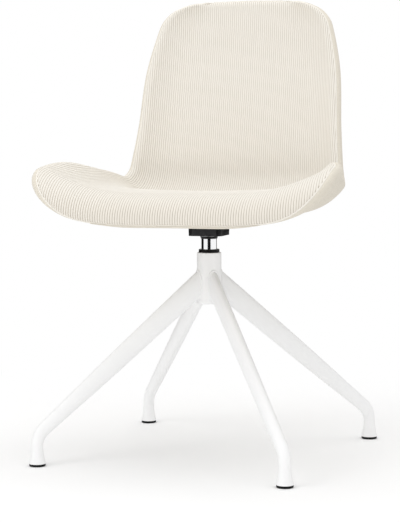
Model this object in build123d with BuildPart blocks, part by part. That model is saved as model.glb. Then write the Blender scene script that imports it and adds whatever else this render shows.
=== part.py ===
from build123d import *
from math import atan2, cos, pi, radians, sin, sqrt
import os

os.makedirs("parts", exist_ok=True)

# Swivel dining chair. Millimetres, +Z up, the seat faces -Y. The origin is on
# the floor, under the swivel axis.

# ---------------------------------------------------------------- base
FOOT_SPACING = 460.0  # foot to foot along one side of the square
BASE_TURN = -6.2  # base about the axis, from square to the seat, degrees
LEG_HUB_Z = 305.5  # leg centre line at the hub's wall
LEG_KNEE_Z = 53.4  # height where the sloping and upright centre lines meet
LEG_KNEE_RADIUS = 38.0  # centre line of the knee
LEG_WIDTH = 21.0  # across the leg, all the way
LEG_ROOT_DEPTH = 39.5  # depth of the oval at the hub
LEG_MID_DEPTH = 34.5  # half way down
LEG_KNEE_DEPTH = 24.5  # where the knee starts
LEG_WALL = 2.0
FOOT_DIAMETER = 29.6  # flared end of the foot
FOOT_RIM = 1.5  # upright rim of the flare
GLIDE_HEIGHT = 4.5  # the part of the glide that shows
GLIDE_DIAMETER = 28.8
GLIDE_SPIGOT = 20.0  # length inside the foot
FOOT_BORE = 8.5  # radius of the socket for the glide

HUB_BOTTOM = 271.0
HUB_HEIGHT = 92.6
HUB_RADIUS = 22.0
HUB_BORE = 17.5
HUB_LEDGE = 10.9  # height of the ledge above the hub's bottom
HUB_LOWER_BORE = 16.0
HUB_EDGE = 1.5  # rounding of the hub's rims
COPE_REACH = 40.0  # the legs are cut to the hub this far above and below it
FIT = 0.02  # radial clearance of seated pieces
RUNNING_FIT = 0.05  # radial and axial clearance of turning pieces

BUSH_FLANGE_RADIUS = 18.7
BUSH_FLANGE_HEIGHT = 5.9
UPPER_BUSH_LENGTH = 30.0
LOWER_BUSH_LENGTH = 12.0
THRUST_WASHER = 1.0  # thickness
THRUST_RADIUS = 17.0
BALL_DIAMETER = 4.0
BALL_COUNT = 14
BALL_CIRCLE = 13.5  # radius of the circle that the balls run on
CAGE_THICKNESS = 2.4
CAGE_WIDTH = 5.6
PLUG_THICKNESS = 2.5
PLUG_SKIRT = 4.0
PLUG_WALL = 2.0

# ---------------------------------------------------------------- swivel
SPINDLE_RADIUS = 14.0
JOURNAL_RADIUS = 10.0
AXIAL_PLAY = 0.1
RETAINING_WASHER = 2.5
RETAINING_RADIUS = 15.0
M8_RADIUS = 4.0
M8_HEAD = 5.3
M8_FLATS = 13.0
M8_DEPTH = 24.0
M8_TIP_GAP = 4.0  # thread left beyond the tip of the bolt
COLLAR_BOTTOM = 388.3  # underside of the collar: the rod shows below it
COLLAR_HEIGHT = 4.5
COLLAR_LOWER_RADIUS = 14.6
COLLAR_UPPER_RADIUS = 16.5
RING_HEIGHT = 1.5
RING_RADIUS = 16.5
SPINDLE_GRIP = 40.0  # length of spindle inside the bracket's boss

# ---------------------------------------------------------------- shell
SEAT_HEIGHT = 457.4  # middle of the shell, on the swivel axis
SEAT_RAKE = 9.9  # the seat falls towards the back, degrees
SEAT_FRONT_RUN = 148.5  # straight part of the seat, ahead of the axis
SEAT_REAR_RUN = 109.5  # and behind it
NOSE_RADIUS = 46.3
NOSE_WRAP = 122.7  # how far the front edge rolls under, degrees
BEND_RADIUS = 86.4  # from the seat to the back
BACK_LEAN = 14.1  # of the straight part of the back, degrees
BACK_RUN = 190.7
TOP_RADIUS = 1003.0
TOP_BEND = 8.3  # the top of the back turns upright, degrees
THICKNESS = 26.0  # upholstered shell

# half width of the shell, turn of its wings and of its dished middle, and the
# seam's turn round the rim, along the shell. Place 0 is the front edge, 1 the
# end of the nose, 2 of the seat, 3 of the bend, 4 of the straight back, 5 the top
HALF_WIDTH = [
    (0, 247), (0.5, 262), (1, 273.5), (1.25, 259.5), (1.6, 236), (2, 225), (2.5, 218),
    (3, 209), (3.4, 200.5), (4, 192), (4.5, 177), (5, 154.5),
]
WING_ANGLE = [
    (0, -9), (0.5, 3.5), (1, 22), (1.25, 42.5), (1.6, 48), (2, 52.5), (2.5, 49.5),
    (3, 43.5), (3.4, 39), (4, 38.5), (4.5, 35), (5, 29),
]
DISH_ANGLE = [(0, 1.3), (1, 2.8), (1.6, 3.8), (2.5, 3.3), (5, 3.5)]
SEAM_ANGLE = [(0, 22), (1, 22), (2, 60), (3, 65), (5, 65)]
DISH_SHARE = 0.62  # the dished middle's share of the half width
FRONT_CORNER = 80.5  # corner length along the shell
FRONT_CORNER_WIDTH = 155.5  # and across it
TOP_CORNER = 51.5
TOP_CORNER_WIDTH = 81.0
SECTIONS = 20  # even sections between the corners

CORE_FRONT = 1.0  # the moulded core, from the middle of the shell
CORE_BACK = 7.0
CORE_EDGE = 2.0
CORE_END = 12.0
COVER_GAP = 0.3  # between the upholstery and its neighbours
OVERSHOOT = 4.0  # how far cutters run past the shell

# ---------------------------------------------------------------- bracket
BOLT_X = 75.0
BOLT_Y = 62.0
STANDOFF_RADIUS = 12.0
STANDOFF_DROP = 9.0  # flat underside of the core's standoffs
SPACER_HEIGHT = 6.0
ARM_THICKNESS = 5.0
ARM_END = 13.0  # radius round a bolt
HOLLOW_X = 14.0  # depth of the plate's hollow sides
HOLLOW_Y = 6.0  # and of its hollow front and back
BOSS_WIDTH = 62.0
BOSS_CORNER = 9.0
BOSS_DRAFT = 1.5
RIB_THICKNESS = 6.0
RIB_DEPTH = 24.0
RIB_TIP = 2.0  # depth of a rib at its outer end
RIB_ROOT = 1.0  # how far a rib goes into the plate
RIB_GAP = 3.0  # from a rib to the bolt's washer
M6_RADIUS = 3.0
M6_CLEARANCE = 0.3
M6_HEAD_RADIUS = 5.3
M6_HEAD = 3.3
M6_SOCKET = 4.0
M6_SOCKET_DEPTH = 2.0
M6_WASHER = 1.6
M6_WASHER_RADIUS = 7.0
TEE_FLANGE_RADIUS = 9.0
TEE_FLANGE = 1.2
TEE_FLOOR = 0.2
TEE_BARREL_RADIUS = 4.0
GRUB_HEIGHT = 18.0  # above the boss's underside
GRUB_LENGTH = 14.0
GRUB_SOCKET = 3.0


def save(part, label):
    part.label = label
    export_step(part, f"parts/{label}.step")


def smooth(table, s):
    """Value at s on a smooth curve through the (s, value) pairs."""
    last = len(table) - 2
    i = min(max(sum(1 for p in table[1:] if p[0] <= s), 0), last)
    (s0, a), (s1, b) = table[i], table[i + 1]
    inner = (b - a) / (s1 - s0)
    before = inner if i == 0 else (a - table[i - 1][1]) / (s0 - table[i - 1][0])
    after = inner if i == last else (table[i + 2][1] - b) / (table[i + 2][0] - s1)
    ma, mb = (before + inner) / 2, (inner + after) / 2
    t, h = (s - s0) / (s1 - s0), s1 - s0
    return (
        a * (1 + 2 * t) * (1 - t) ** 2
        + b * t * t * (3 - 2 * t)
        + h * t * (1 - t) * (ma * (1 - t) - mb * t)
    )


# ================================================================ base
FOOT_REACH = FOOT_SPACING / sqrt(2)
LEG_NAMES = ["rear_left", "rear_right", "front_right", "front_left"]
LEG_ANGLES = [45 + 90 * i + BASE_TURN for i in range(4)]
HUB_TOP = HUB_BOTTOM + HUB_HEIGHT
LEG_SLOPE = atan2(LEG_HUB_Z - LEG_KNEE_Z, FOOT_REACH - HUB_RADIUS)
KNEE_TURN = pi / 2 - LEG_SLOPE
KNEE_TANGENT = LEG_KNEE_RADIUS * (1 - cos(KNEE_TURN)) / sin(KNEE_TURN)
KNEE_LENGTH = LEG_KNEE_RADIUS * KNEE_TURN
SLOPE_LENGTH = (FOOT_REACH - HUB_RADIUS) / cos(LEG_SLOPE) - KNEE_TANGENT


def leg_point(angle, d):
    """Point and direction of a leg's centre line, d from the hub's wall."""
    slope, x, z = LEG_SLOPE, HUB_RADIUS, LEG_HUB_Z
    run = min(d, SLOPE_LENGTH)
    x, z = x + run * cos(slope), z - run * sin(slope)
    if d > SLOPE_LENGTH:
        turn = min((d - SLOPE_LENGTH) / LEG_KNEE_RADIUS, KNEE_TURN)
        x += LEG_KNEE_RADIUS * (sin(slope + turn) - sin(slope))
        z += LEG_KNEE_RADIUS * (cos(slope + turn) - cos(slope))
        slope += turn
        z -= max(d - SLOPE_LENGTH - KNEE_LENGTH, 0)
    a = radians(angle)
    return (
        Vector(x * cos(a), x * sin(a), z),
        Vector(cos(slope) * cos(a), cos(slope) * sin(a), -sin(slope)),
    )


def leg_plane(angle, d):
    """Section plane of a leg: local x across the leg, local y in its depth."""
    point, direction = leg_point(angle, d)
    a = radians(angle)
    return Plane(origin=point, x_dir=(-sin(a), cos(a), 0), z_dir=direction)


KNEE_END_Z = LEG_KNEE_Z - KNEE_TANGENT
FOOT_LENGTH = KNEE_END_Z - GLIDE_HEIGHT
LEG_LENGTH = SLOPE_LENGTH + KNEE_LENGTH + FOOT_LENGTH
SLOPE_DEPTHS = [(0, LEG_ROOT_DEPTH), (0.5, LEG_MID_DEPTH), (1, LEG_KNEE_DEPTH)]


def upright_plane(angle):
    """Local x away from the hub, local y up."""
    a = radians(angle)
    return Plane(origin=(0, 0, 0), x_dir=(cos(a), sin(a), 0), z_dir=(sin(a), -cos(a), 0))


def oval(width, depth):
    for start in (0, 180):
        EllipticalCenterArc((0, 0), width / 2, depth / 2, start, arc_size=180)


def leg_sections(angle, wall):
    """Sections down the slope and then round the knee, as two lofts."""
    slope = [(-0.04, LEG_ROOT_DEPTH)]
    slope += [(k / 4, smooth(SLOPE_DEPTHS, k / 4)) for k in range(5)]
    knee = [(k / 4, LEG_KNEE_DEPTH + (LEG_WIDTH - LEG_KNEE_DEPTH) * k / 4) for k in range(5)]
    return (
        [(leg_plane(angle, t * SLOPE_LENGTH), depth - 2 * wall) for t, depth in slope],
        [
            (leg_plane(angle, SLOPE_LENGTH + t * KNEE_LENGTH), depth - 2 * wall)
            for t, depth in knee
        ],
    )


for name, angle in zip(LEG_NAMES, LEG_ANGLES):
    foot = leg_point(angle, LEG_LENGTH)[0]
    # an oval tube that tapers to the knee and flares to a round foot,
    # coped to the hub and bored for its glide
    with BuildPart() as leg:
        for sections in leg_sections(angle, 0):
            for plane, depth in sections:
                with BuildSketch(plane):
                    with BuildLine():
                        oval(LEG_WIDTH, depth)
                    make_face()
            loft()
        with BuildSketch(upright_plane(angle)):
            with BuildLine():
                flare = TangentArc(
                    (FOOT_REACH + LEG_WIDTH / 2, KNEE_END_Z),
                    (FOOT_REACH + FOOT_DIAMETER / 2, GLIDE_HEIGHT + FOOT_RIM),
                    tangent=(0, -1),
                )
                Polyline(
                    flare @ 1,
                    (FOOT_REACH + FOOT_DIAMETER / 2, GLIDE_HEIGHT),
                    (FOOT_REACH, GLIDE_HEIGHT),
                    (FOOT_REACH, KNEE_END_Z),
                    flare @ 0,
                )
            make_face()
        revolve(axis=Axis((foot.X, foot.Y, 0), (0, 0, 1)))
        for sections in leg_sections(angle, LEG_WALL):
            for plane, depth in sections:
                with BuildSketch(plane):
                    with BuildLine():
                        oval(LEG_WIDTH - 2 * LEG_WALL, depth)
                    make_face()
            loft(mode=Mode.SUBTRACT)
        with BuildSketch(leg_plane(angle, LEG_LENGTH)):
            Circle(FOOT_BORE)
        extrude(amount=-FOOT_LENGTH, mode=Mode.SUBTRACT)
        with BuildSketch(Plane.XY.offset(HUB_BOTTOM - COPE_REACH)):
            Circle(HUB_RADIUS)
        extrude(amount=HUB_HEIGHT + 2 * COPE_REACH, mode=Mode.SUBTRACT)
    save(leg.part, f"leg_{name}")

    with BuildPart() as glide:
        with BuildSketch(Plane(origin=(foot.X, foot.Y, 0))):
            Circle(GLIDE_DIAMETER / 2)
        extrude(amount=GLIDE_HEIGHT)
        chamfer(glide.edges().group_by(Axis.Z)[0], 1.0)
        with BuildSketch(Plane(origin=(foot.X, foot.Y, GLIDE_HEIGHT))):
            Circle(FOOT_BORE - FIT)
        extrude(amount=GLIDE_SPIGOT)
        chamfer(glide.edges().group_by(Axis.Z)[-1], 1.0)
    save(glide.part, f"glide_{name}")

LEDGE_Z = HUB_BOTTOM + HUB_LEDGE
with BuildPart() as hub_tube:
    with BuildSketch(Plane.XY.offset(HUB_BOTTOM)):
        Circle(HUB_RADIUS)
    extrude(amount=HUB_HEIGHT)
    fillet(hub_tube.edges().filter_by(GeomType.CIRCLE), HUB_EDGE)
    with BuildSketch(Plane.XY.offset(LEDGE_Z)):
        Circle(HUB_BORE)
    extrude(amount=HUB_TOP - LEDGE_Z, mode=Mode.SUBTRACT)
    with BuildSketch(Plane.XY.offset(HUB_BOTTOM)):
        Circle(HUB_LOWER_BORE)
    extrude(amount=HUB_LEDGE, mode=Mode.SUBTRACT)
save(hub_tube.part, "hub_tube")

with BuildPart() as upper_bush:
    with BuildSketch(Plane.XY.offset(HUB_TOP)):
        Circle(BUSH_FLANGE_RADIUS)
    extrude(amount=BUSH_FLANGE_HEIGHT)
    fillet(upper_bush.edges().group_by(Axis.Z)[-1], 1.2)
    with BuildSketch(Plane.XY.offset(HUB_TOP)):
        Circle(HUB_BORE - FIT)
    extrude(amount=-UPPER_BUSH_LENGTH)
    with BuildSketch(Plane.XY.offset(HUB_TOP - UPPER_BUSH_LENGTH)):
        Circle(SPINDLE_RADIUS + RUNNING_FIT)
    extrude(amount=UPPER_BUSH_LENGTH + BUSH_FLANGE_HEIGHT, mode=Mode.SUBTRACT)
save(upper_bush.part, "upper_bush")

with BuildPart() as lower_bush:
    with BuildSketch(Plane.XY.offset(LEDGE_Z)):
        Circle(HUB_BORE - FIT)
        Circle(JOURNAL_RADIUS + RUNNING_FIT, mode=Mode.SUBTRACT)
    extrude(amount=LOWER_BUSH_LENGTH)
save(lower_bush.part, "lower_bush")

LOWER_RACE_Z = LEDGE_Z + LOWER_BUSH_LENGTH
BALL_Z = LOWER_RACE_Z + THRUST_WASHER + BALL_DIAMETER / 2
UPPER_RACE_Z = BALL_Z + BALL_DIAMETER / 2 + RUNNING_FIT
SHOULDER_Z = UPPER_RACE_Z + THRUST_WASHER
for name, z in [("lower", LOWER_RACE_Z), ("upper", UPPER_RACE_Z)]:
    with BuildPart() as thrust_washer:
        with BuildSketch(Plane.XY.offset(z)):
            Circle(THRUST_RADIUS)
            Circle(JOURNAL_RADIUS + RUNNING_FIT, mode=Mode.SUBTRACT)
        extrude(amount=THRUST_WASHER)
    save(thrust_washer.part, f"thrust_washer_{name}")

with BuildPart() as ball_cage:
    with BuildSketch(Plane.XY.offset(BALL_Z - CAGE_THICKNESS / 2)):
        Circle(BALL_CIRCLE + CAGE_WIDTH / 2)
        Circle(BALL_CIRCLE - CAGE_WIDTH / 2, mode=Mode.SUBTRACT)
        with PolarLocations(BALL_CIRCLE, BALL_COUNT):
            Circle(BALL_DIAMETER / 2 + RUNNING_FIT, mode=Mode.SUBTRACT)
    extrude(amount=CAGE_THICKNESS)
save(ball_cage.part, "ball_cage")

with BuildPart(Plane.XY.offset(BALL_Z)) as thrust_balls:
    with PolarLocations(BALL_CIRCLE, BALL_COUNT):
        Sphere(BALL_DIAMETER / 2)
save(thrust_balls.part, "thrust_balls")

with BuildPart() as hub_plug:
    with BuildSketch(Plane.XY.offset(HUB_BOTTOM)):
        Circle(HUB_LOWER_BORE - FIT)
    extrude(amount=PLUG_THICKNESS + PLUG_SKIRT)
    with BuildSketch(Plane.XY.offset(HUB_BOTTOM + PLUG_THICKNESS)):
        Circle(HUB_LOWER_BORE - PLUG_WALL)
    extrude(amount=PLUG_SKIRT, mode=Mode.SUBTRACT)
save(hub_plug.part, "hub_plug")

# ================================================================ swivel
JOURNAL_Z = LEDGE_Z - AXIAL_PLAY
COLLAR_TOP = COLLAR_BOTTOM + COLLAR_HEIGHT
BOSS_BOTTOM = COLLAR_TOP + RING_HEIGHT
SPINDLE_TOP = BOSS_BOTTOM + SPINDLE_GRIP
with BuildPart() as spindle:
    with BuildSketch(Plane.XY.offset(JOURNAL_Z)):
        Circle(JOURNAL_RADIUS)
    extrude(amount=SHOULDER_Z - JOURNAL_Z)
    with BuildSketch(Plane.XY.offset(SHOULDER_Z)):
        Circle(SPINDLE_RADIUS)
    extrude(amount=SPINDLE_TOP - SHOULDER_Z)
    chamfer(spindle.edges().group_by(Axis.Z)[-1], 1.0)
    with BuildSketch(Plane.XY.offset(JOURNAL_Z)):
        Circle(M8_RADIUS)
    extrude(amount=M8_DEPTH, mode=Mode.SUBTRACT)
save(spindle.part, "spindle")

with BuildPart() as retaining_washer:
    with BuildSketch(Plane.XY.offset(JOURNAL_Z - RETAINING_WASHER)):
        Circle(RETAINING_RADIUS)
        Circle(M8_RADIUS + M6_CLEARANCE, mode=Mode.SUBTRACT)
    extrude(amount=RETAINING_WASHER)
save(retaining_washer.part, "retaining_washer")

with BuildPart() as retaining_bolt:
    with BuildSketch(Plane.XY.offset(JOURNAL_Z - RETAINING_WASHER - M8_HEAD)):
        RegularPolygon(M8_FLATS / 2, 6, major_radius=False)
    extrude(amount=M8_HEAD)
    with BuildSketch(Plane.XY.offset(JOURNAL_Z - RETAINING_WASHER)):
        Circle(M8_RADIUS - RUNNING_FIT)
    extrude(amount=RETAINING_WASHER + M8_DEPTH - M8_TIP_GAP)
save(retaining_bolt.part, "retaining_bolt")

with BuildPart() as dust_collar:
    with BuildSketch(Plane.XY.offset(COLLAR_BOTTOM)):
        Circle(COLLAR_LOWER_RADIUS)
    with BuildSketch(Plane.XY.offset(COLLAR_TOP)):
        Circle(COLLAR_UPPER_RADIUS)
    loft()
    with BuildSketch(Plane.XY.offset(COLLAR_BOTTOM)):
        Circle(SPINDLE_RADIUS + FIT)
    extrude(amount=COLLAR_HEIGHT, mode=Mode.SUBTRACT)
save(dust_collar.part, "dust_collar")

with BuildPart() as collar_washer:
    with BuildSketch(Plane.XY.offset(COLLAR_TOP)):
        Circle(RING_RADIUS)
        Circle(SPINDLE_RADIUS + FIT, mode=Mode.SUBTRACT)
    extrude(amount=RING_HEIGHT)
save(collar_washer.part, "collar_washer")

# ================================================================ bracket
# the seat's plane: local x across the chair, local y to the back, and local z
# square to the seat, from the middle of the shell
rake = radians(SEAT_RAKE)
SEAT_PLANE = Plane(
    origin=(0, 0, SEAT_HEIGHT), x_dir=(1, 0, 0), z_dir=(0, sin(rake), cos(rake))
)
BOLTS = [(x, y) for x in (-BOLT_X, BOLT_X) for y in (-BOLT_Y, BOLT_Y)]
ARM_TOP = -STANDOFF_DROP - SPACER_HEIGHT
ARM_BOTTOM = ARM_TOP - ARM_THICKNESS
GRUB_Z = BOSS_BOTTOM + GRUB_HEIGHT

with BuildPart() as seat_bracket:
    # square boss with rounded corners, up into the plate
    with BuildSketch(Plane.XY.offset(BOSS_BOTTOM)):
        RectangleRounded(BOSS_WIDTH, BOSS_WIDTH, BOSS_CORNER)
    extrude(amount=SEAT_HEIGHT - BOSS_BOTTOM, taper=-BOSS_DRAFT)
    split(bisect_by=SEAT_PLANE.offset(ARM_TOP), keep=Keep.BOTTOM)
    # plate with an arm to each bolt and hollow sides between them
    with BuildSketch(SEAT_PLANE.offset(ARM_BOTTOM)):
        RectangleRounded(2 * (BOLT_X + ARM_END), 2 * (BOLT_Y + ARM_END), ARM_END - 1)
        with Locations((0, BOLT_Y + BOLT_X), (0, -BOLT_Y - BOLT_X)):
            Circle(BOLT_X - ARM_END + HOLLOW_Y, mode=Mode.SUBTRACT)
        with Locations((BOLT_Y + BOLT_X, 0), (-BOLT_Y - BOLT_X, 0)):
            Circle(BOLT_Y - ARM_END + HOLLOW_X, mode=Mode.SUBTRACT)
    extrude(amount=ARM_THICKNESS)
    # a rib under each arm
    reach = sqrt(BOLT_X**2 + BOLT_Y**2) - M6_WASHER_RADIUS - RIB_GAP
    for x, y in BOLTS:
        outward = (SEAT_PLANE.x_dir * x + SEAT_PLANE.y_dir * y).normalized()
        rib_plane = Plane(
            origin=SEAT_PLANE.origin, x_dir=outward, z_dir=outward.cross(SEAT_PLANE.z_dir)
        )
        with BuildSketch(rib_plane):
            with BuildLine():
                Polyline(
                    (BOSS_WIDTH / 3, ARM_TOP - RIB_ROOT),
                    (reach, ARM_TOP - RIB_ROOT),
                    (reach, ARM_BOTTOM - RIB_TIP),
                    (BOSS_WIDTH / 3, ARM_BOTTOM - RIB_DEPTH),
                    close=True,
                )
            make_face()
        extrude(amount=RIB_THICKNESS / 2, both=True)
    with BuildSketch(Plane.XY.offset(BOSS_BOTTOM)):
        Circle(SPINDLE_RADIUS + FIT)
    extrude(amount=SPINDLE_GRIP, mode=Mode.SUBTRACT)
    with BuildSketch(SEAT_PLANE.offset(ARM_TOP)):
        with Locations(*BOLTS):
            Circle(M6_RADIUS + M6_CLEARANCE)
    extrude(amount=-2 * ARM_THICKNESS, mode=Mode.SUBTRACT)
    with BuildSketch(Plane(origin=(0, 0, GRUB_Z), x_dir=(1, 0, 0), z_dir=(0, 1, 0))):
        Circle(M6_RADIUS)
    extrude(amount=BOSS_WIDTH, mode=Mode.SUBTRACT)
save(seat_bracket.part, "seat_bracket")

# ================================================================ shell
# the centre line of the upholstered shell, from the front edge over the nose,
# down the seat and up the back
def front_normal(heading):
    a = radians(heading)
    return Vector(-sin(a), cos(a))


NOSE_HEADING = NOSE_WRAP - SEAT_RAKE
nose_end = Vector(0, SEAT_HEIGHT) - Vector(cos(rake), -sin(rake)) * SEAT_FRONT_RUN
nose_centre = nose_end - front_normal(-SEAT_RAKE) * NOSE_RADIUS
nose_start = nose_centre + front_normal(NOSE_HEADING) * NOSE_RADIUS
nose_direction = (cos(radians(NOSE_HEADING)), sin(radians(NOSE_HEADING)))
with BuildLine(Plane.YZ) as centre_line:
    nose = JernArc((nose_start.X, nose_start.Y), nose_direction, NOSE_RADIUS, -NOSE_WRAP)
    seat = Line(nose @ 1, nose @ 1 + (nose % 1) * (SEAT_FRONT_RUN + SEAT_REAR_RUN))
    bend = JernArc(seat @ 1, seat % 1, BEND_RADIUS, 90 - BACK_LEAN + SEAT_RAKE)
    back = Line(bend @ 1, bend @ 1 + (bend % 1) * BACK_RUN)
    top = JernArc(back @ 1, back % 1, TOP_RADIUS, TOP_BEND)
RUNS = [nose, seat, bend, back, top]
MARKS = [sum(run.length for run in RUNS[:i]) for i in range(6)]
SHELL_LENGTH = MARKS[-1]
RADIUS = THICKNESS / 2


def distance(place):
    """Distance along the centre line of a place between two marks."""
    i = min(int(place), 4)
    return MARKS[i] + (place - i) * RUNS[i].length


WIDTHS = [(distance(p), v) for p, v in HALF_WIDTH]
WINGS = [(distance(p), v) for p, v in WING_ANGLE]
DISHES = [(distance(p), v) for p, v in DISH_ANGLE]
SEAMS = [(distance(p), v) for p, v in SEAM_ANGLE]


def station(s):
    """Section plane: local x across the chair, local y to the front."""
    i = max(k for k in range(5) if MARKS[k] <= s)
    u = (s - MARKS[i]) / RUNS[i].length
    return Plane(origin=RUNS[i] @ u, x_dir=(1, 0, 0), z_dir=-(RUNS[i] % u))


def section(s, trim=0.0):
    """Two functions for the section at s, and half its thickness: a point of
    an arc beside the middle line, from -2 to 2 across the chair, and a point
    on the rim. The dished middle runs from -1 to 1 and the wings beyond."""
    near, far = max(1 - s / RADIUS, 0), max(1 - (SHELL_LENGTH - s) / RADIUS, 0)
    half = max(RADIUS * sqrt(1 - near**2) * sqrt(1 - far**2), 0.8)
    near = max(1 - s / FRONT_CORNER, 0)
    far = max(1 - (SHELL_LENGTH - s) / TOP_CORNER, 0)
    width = smooth(WIDTHS, s) - half
    width -= FRONT_CORNER_WIDTH * (1 - sqrt(1 - near**2))
    width -= TOP_CORNER_WIDTH * (1 - sqrt(1 - far**2))
    dish = radians(smooth(DISHES, s))
    wing = radians(smooth(WINGS, s))
    if abs(wing - dish) < radians(0.15):
        wing = dish + radians(0.15)
    dish_x = DISH_SHARE * width
    dish_r = dish_x / sin(dish)
    wing_r = (width - dish_x) / (sin(wing) - sin(dish))
    x0 = dish_x - wing_r * sin(dish)
    y0 = dish_r * (1 - cos(dish)) + wing_r * cos(dish)
    end = wing - trim / wing_r

    def arc(m, out):
        side, m = (1 if m >= 0 else -1), abs(m)
        turn = dish * m if m <= 1 else dish + (end - dish) * (m - 1)
        x = dish_r * sin(turn) if m <= 1 else x0 + wing_r * sin(turn)
        y = dish_r * (1 - cos(turn)) if m <= 1 else y0 - wing_r * cos(turn)
        return (side * (x - out * sin(turn)), y + out * cos(turn))

    def rim(side, psi, radius, shift=0.0):
        x, y = arc(2, 0)
        a = radians(psi)
        n = radius * cos(a) - shift * sin(a)
        t = radius * sin(a) + shift * cos(a)
        x += t * cos(wing) - n * sin(wing)
        y += t * sin(wing) + n * cos(wing)
        return (side * x, y)

    return arc, rim, half


def draw_across(arc, out, side=1):
    """Wing, dish and wing, from the given side to the other."""
    for m in (2, 1, -1):
        step = 2 if m == 1 else 1
        points = [arc(side * (m - step * k / 2), out) for k in range(3)]
        ThreePointArc(*points)


def draw_envelope(s):
    """The whole upholstered shell: two faces joined by half-round rims."""
    arc, rim, half = section(s)
    draw_across(arc, half)
    draw_across(arc, -half)
    for side in (-1, 1):
        for psi in (0, 90):
            ThreePointArc(*[rim(side, psi + k * 45, half) for k in range(3)])


def draw_band(s, front, behind, trim):
    """A layer between two distances from the middle of the shell."""
    arc = section(s, trim)[0]
    draw_across(arc, front)
    draw_across(arc, -behind)
    for m in (-2, 2):
        Line(arc(m, front), arc(m, -behind))


def draw_front(s, inner, shift):
    """The space of the front cover, out to the seam and past the face."""
    arc, rim = section(s)[:2]
    seam = smooth(SEAMS, s)
    outer = RADIUS + OVERSHOOT
    draw_across(arc, inner)
    draw_across(arc, outer)
    for side in (-1, 1):
        Line(rim(side, 0, inner), rim(side, seam, outer, shift))
        Line(rim(side, seam, outer, shift), rim(side, 0, outer))


def stations():
    """Sections along the shell: close together at the rounded ends."""
    marks = []
    for k in range(5):
        ease = 1 - cos(k * pi / 8)
        marks += [RADIUS * ease, SHELL_LENGTH - RADIUS * ease]
    for k in range(3, 7):
        ease = 1 - cos(k * pi / 12)
        marks += [FRONT_CORNER * ease, SHELL_LENGTH - TOP_CORNER * ease]
    first, last = FRONT_CORNER, SHELL_LENGTH - TOP_CORNER
    marks += [first + (last - first) * k / SECTIONS for k in range(1, SECTIONS)]
    return sorted(marks)


with BuildPart() as envelope:
    for s in stations():
        with BuildSketch(station(s)):
            with BuildLine():
                draw_envelope(s)
            make_face()
    loft()

PAD_START = RADIUS * (1 - sin(radians(SEAM_ANGLE[0][1])))
PAD_END = SHELL_LENGTH - RADIUS * (1 - sin(radians(SEAM_ANGLE[-1][1])))
END_WIDTH = 2 * max(value for _, value in HALF_WIDTH) + THICKNESS


def between(layer, start, end):
    """The layer without its ends."""
    with BuildPart() as cut:
        add(layer)
        for s, way in ((start, 1), (end, -1)):
            with BuildSketch(station(s)):
                Rectangle(END_WIDTH, 2 * THICKNESS)
            extrude(amount=way * THICKNESS, mode=Mode.SUBTRACT)
    return cut.part


def cover_space(widen):
    """Cutter for the front cover, widened all round."""
    with BuildPart() as space:
        for s in stations():
            with BuildSketch(station(s)):
                with BuildLine():
                    draw_front(s, CORE_FRONT + COVER_GAP - widen, widen)
                make_face()
        loft()
    return between(space.part, PAD_START - widen, PAD_END + widen)


def core_layer(front, widen):
    """The moulded core, or the room for it."""
    with BuildPart() as layer:
        for s in stations():
            with BuildSketch(station(s)):
                with BuildLine():
                    draw_band(s, front, CORE_BACK + widen, CORE_EDGE - widen)
                make_face()
        loft()
    return between(layer.part, CORE_END - widen, SHELL_LENGTH - CORE_END + widen)


# the moulded core, with flat standoffs and pockets for the tee nuts
with BuildPart() as shell_core:
    add(core_layer(CORE_FRONT, 0))
    with BuildSketch(SEAT_PLANE.offset(-STANDOFF_DROP)):
        with Locations(*BOLTS):
            Circle(STANDOFF_RADIUS)
    extrude(amount=STANDOFF_DROP)
    with BuildSketch(SEAT_PLANE.offset(TEE_FLOOR)):
        with Locations(*BOLTS):
            Circle(TEE_FLANGE_RADIUS + FIT)
    extrude(amount=RADIUS, mode=Mode.SUBTRACT)
    with BuildSketch(SEAT_PLANE.offset(-STANDOFF_DROP)):
        with Locations(*BOLTS):
            Circle(TEE_BARREL_RADIUS + FIT)
    extrude(amount=STANDOFF_DROP + TEE_FLOOR, mode=Mode.SUBTRACT)
save(shell_core.part, "shell_core")

# the ribbed front cover and its foam, round the rim to the seam
with BuildPart() as seat_pad:
    add(envelope.part)
    add(cover_space(0), mode=Mode.INTERSECT)
save(seat_pad.part, "seat_pad")

# the plain cover of the back and underside, with holes for the spacers
with BuildPart() as rear_cover:
    add(envelope.part)
    add(cover_space(COVER_GAP), mode=Mode.SUBTRACT)
    add(core_layer(CORE_FRONT + RADIUS / 2, COVER_GAP), mode=Mode.SUBTRACT)
    with BuildSketch(SEAT_PLANE.offset(-RADIUS - OVERSHOOT)):
        with Locations(*BOLTS):
            Circle(STANDOFF_RADIUS + COVER_GAP)
    extrude(amount=RADIUS, mode=Mode.SUBTRACT)
save(rear_cover.part, "rear_cover")

with BuildPart() as spacers:
    with BuildSketch(SEAT_PLANE.offset(ARM_TOP)):
        with Locations(*BOLTS):
            Circle(STANDOFF_RADIUS)
            Circle(M6_RADIUS + M6_CLEARANCE, mode=Mode.SUBTRACT)
    extrude(amount=SPACER_HEIGHT)
save(spacers.part, "spacers")

with BuildPart() as tee_nuts:
    with BuildSketch(SEAT_PLANE.offset(TEE_FLOOR)):
        with Locations(*BOLTS):
            Circle(TEE_FLANGE_RADIUS)
            Circle(M6_RADIUS, mode=Mode.SUBTRACT)
    extrude(amount=TEE_FLANGE)
    with BuildSketch(SEAT_PLANE.offset(CORE_FRONT - CORE_BACK)):
        with Locations(*BOLTS):
            Circle(TEE_BARREL_RADIUS)
            Circle(M6_RADIUS, mode=Mode.SUBTRACT)
    extrude(amount=CORE_BACK - CORE_FRONT + TEE_FLOOR)
save(tee_nuts.part, "tee_nuts")

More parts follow.
